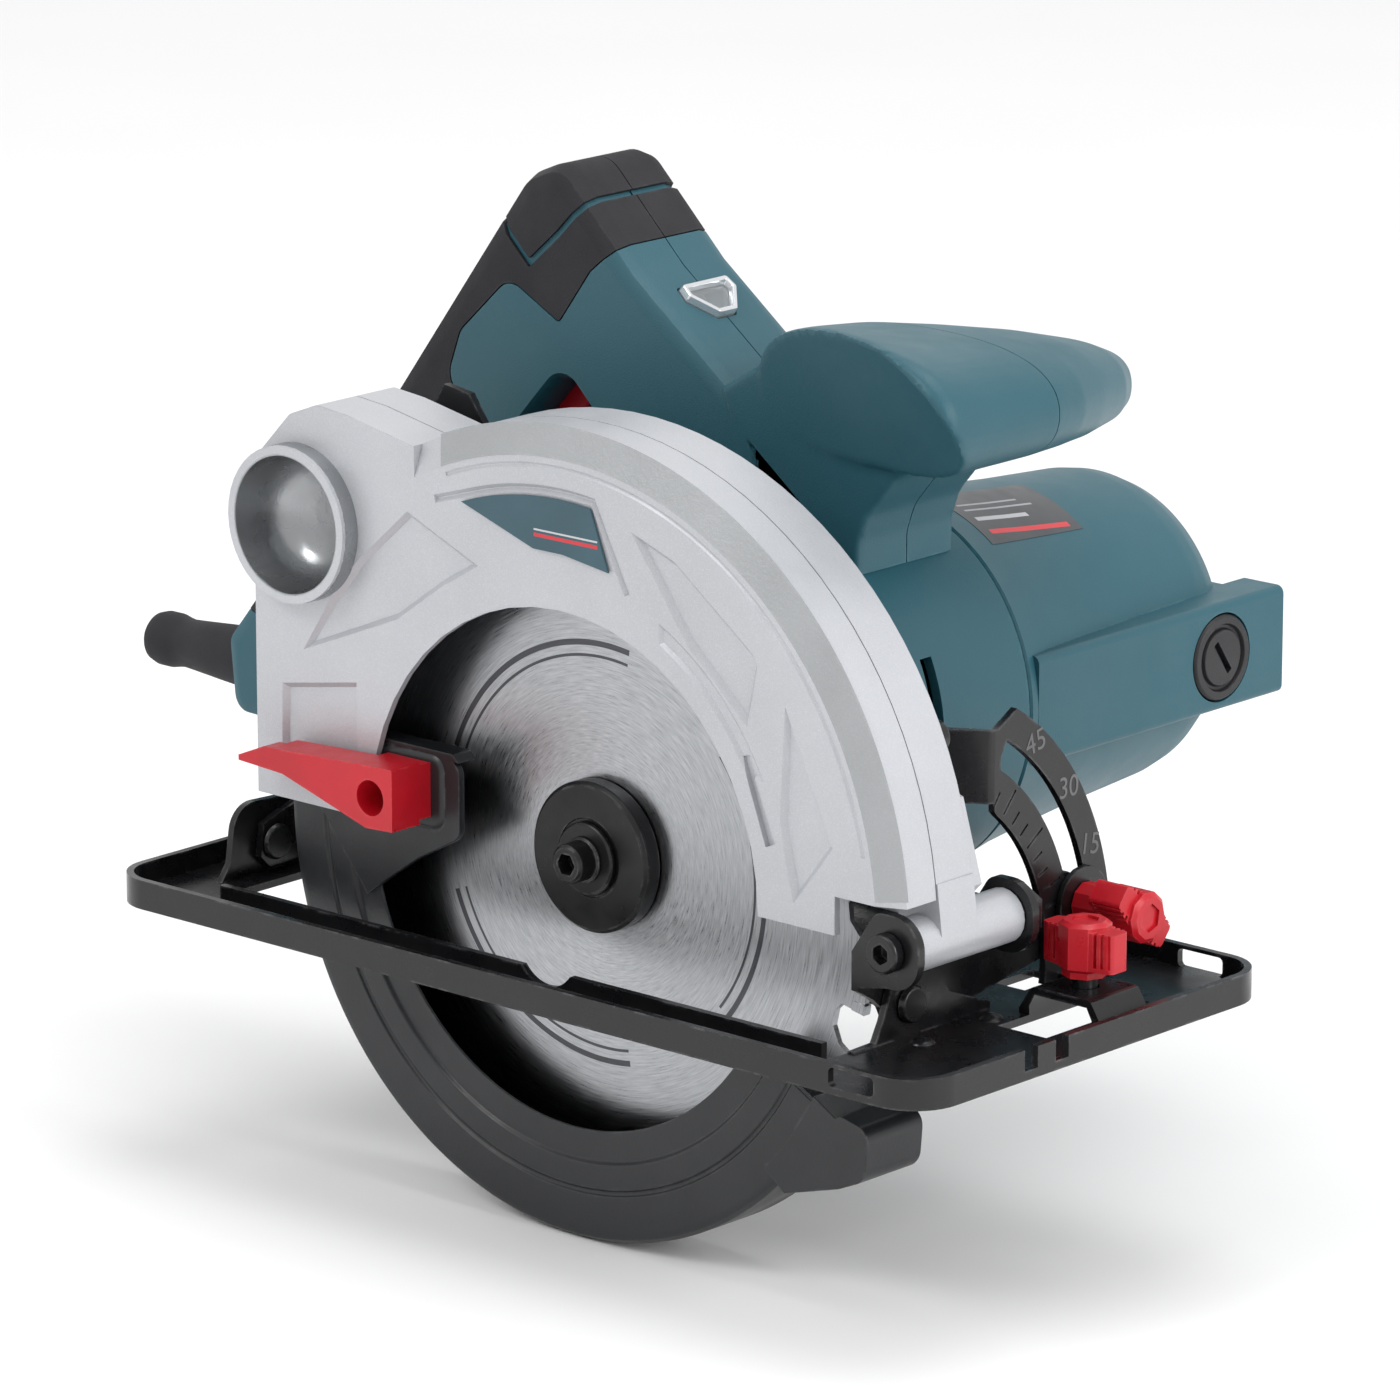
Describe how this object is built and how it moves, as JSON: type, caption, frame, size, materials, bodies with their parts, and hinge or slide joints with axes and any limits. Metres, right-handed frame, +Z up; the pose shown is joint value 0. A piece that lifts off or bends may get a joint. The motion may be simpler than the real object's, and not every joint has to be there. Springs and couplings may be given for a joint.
{
  "type": "circular saw",
  "caption": "Hand-held circular saw: blade under a fixed and a swinging guard, motor to the right, closed rear handle and front grip, on a flat shoe that tilts and sets the depth of cut.",
  "frame": {"origin": "on the flat underside of the shoe, below the blade's axis and in the handle's parting plane", "axes": "+X to the front of the saw, +Y from the blade to the motor, +Z up from the shoe"},
  "size_m": [0.3353, 0.2162, 0.2361],
  "materials": {
    "black_steel": "black enamel, satin gloss",
    "red_plastic": "moulded, semi-gloss",
    "cast_silver": "silver lacquer over cast aluminium, satin",
    "label_foil": "printed foil, plain",
    "machined_steel": "ground and brushed",
    "black_guard": "black powder coat, satin",
    "teal_plastic": "moulded, fine grain",
    "copper_windings": "enamelled wire and laminations",
    "black_plastic": "moulded, satin",
    "brass": "drawn tube",
    "carbon": "pressed carbon, matt",
    "grip_rubber": "soft, matt",
    "clear_lens": "clear, polished"
  },
  "bodies": {
    "shoe": {"shoe_plate": "black_steel", "bevel_quadrant": "black_steel"},
    "rip_fence_clamp": {"rip_fence_knob": "red_plastic", "rip_fence_screw": "black_steel"},
    "tilt_frame": {"front_bracket": "black_steel", "front_bevel_rivet": "black_steel", "depth_guide": "black_steel", "rear_bevel_rivet": "black_steel", "bevel_bolt": "black_steel", "bevel_washer": "black_steel", "depth_pivot_bolt": "black_steel", "depth_pivot_nut": "black_steel"},
    "bevel_clamp": {"bevel_knob": "red_plastic"},
    "saw_body": {"guard_cover": "cast_silver", "gear_case": "cast_silver", "label_plate": "label_foil", "cover_screw_1": "black_steel", "cover_screw_2": "black_steel", "spindle_front_bearing": "machined_steel", "spindle_rear_bearing": "machined_steel", "front_housing": "teal_plastic", "motor_housing": "teal_plastic", "stator": "copper_windings", "armature_front_bearing": "machined_steel", "armature_rear_bearing": "machined_steel", "brush_holder_front": "brass", "brush_holder_rear": "brass", "carbon_brush_front": "carbon", "carbon_brush_rear": "carbon", "brush_cap_front": "black_plastic", "brush_cap_rear": "black_plastic", "handle_left": "teal_plastic", "handle_right": "teal_plastic", "grip_left": "grip_rubber", "grip_right": "grip_rubber", "switch_block": "black_plastic", "indicator_lens": "clear_lens", "cord_boot": "grip_rubber", "handle_screw_1": "black_steel", "handle_screw_2": "black_steel", "rating_label": "label_foil", "depth_clamp_bolt": "black_steel"},
    "depth_lever": {"depth_lever": "black_plastic"},
    "spindle_lock": {"spindle_lock_button": "black_plastic"},
    "trigger": {"trigger": "red_plastic"},
    "lock_off": {"lock_off_button": "black_plastic"},
    "blade_spindle": {"spindle": "machined_steel", "output_gear": "machined_steel", "inner_flange": "black_steel", "saw_blade": "machined_steel", "outer_flange": "black_steel", "bolt_washer": "black_steel", "blade_bolt": "black_steel"},
    "armature": {"armature_shaft": "machined_steel", "armature_core": "copper_windings", "commutator": "copper_windings", "cooling_fan": "black_plastic"},
    "lower_guard": {"lower_guard": "black_guard", "guard_lever": "red_plastic"}
  },
  "joints": [
    {"name": "bevel_tilt", "type": "hinge", "parent": "shoe", "child": "tilt_frame", "pos_m": [0, -0.058, 0.0093], "axis": [1, 0, 0], "range_deg": [0, 45]},
    {"name": "depth_pivot", "type": "hinge", "parent": "tilt_frame", "child": "saw_body", "pos_m": [0.097, -0.06, 0.026], "axis": [0, 1, 0], "range_deg": [0, 30]},
    {"name": "rip_fence_knob_turn", "type": "hinge", "parent": "shoe", "child": "rip_fence_clamp", "pos_m": [0.109, -0.0195, 0.012], "axis": [0, 0, 1], "range_deg": [0, 360]},
    {"name": "bevel_knob_turn", "type": "hinge", "parent": "tilt_frame", "child": "bevel_clamp", "pos_m": [0.1, 0.00119, 0.02027], "axis": [1, 0, 0], "range_deg": [0, 360]},
    {"name": "depth_lever_turn", "type": "hinge", "parent": "saw_body", "child": "depth_lever", "pos_m": [-0.086, -0.037, 0.022], "axis": [0, 1, 0], "range_deg": [0, 60]},
    {"name": "spindle_lock_press", "type": "slide", "parent": "saw_body", "child": "spindle_lock", "axis": [0, 0, -1], "range_m": [0, 0.0025], "stiffness_N_per_m": 1200, "springref_m": -0.002},
    {"name": "trigger_pull", "type": "slide", "parent": "saw_body", "child": "trigger", "axis": [-0.739, 0, 0.6737], "range_m": [0, 0.005], "stiffness_N_per_m": 1000, "springref_m": -0.003},
    {"name": "lock_off_press", "type": "slide", "parent": "saw_body", "child": "lock_off", "axis": [0, -1, 0], "range_m": [0, 0.003], "stiffness_N_per_m": 800, "springref_m": -0.002},
    {"name": "blade_spin", "type": "hinge", "parent": "saw_body", "child": "blade_spindle", "pos_m": [0, -0.06, 0.0275], "axis": [0, 1, 0], "continuous": true},
    {"name": "armature_spin", "type": "hinge", "parent": "saw_body", "child": "armature", "pos_m": [0.012, 0.04, 0.054], "axis": [0, 1, 0], "continuous": true},
    {"name": "lower_guard_swing", "type": "hinge", "parent": "saw_body", "child": "lower_guard", "pos_m": [0, -0.06, 0.0275], "axis": [0, 1, 0], "range_deg": [0, 100], "stiffness_Nm_per_rad": 0.15, "springref_deg": -85.94}
  ],
  "couplings": [
    {"joint": "armature_spin", "follows": "blade_spin", "ratio": -4.1818}
  ]
}
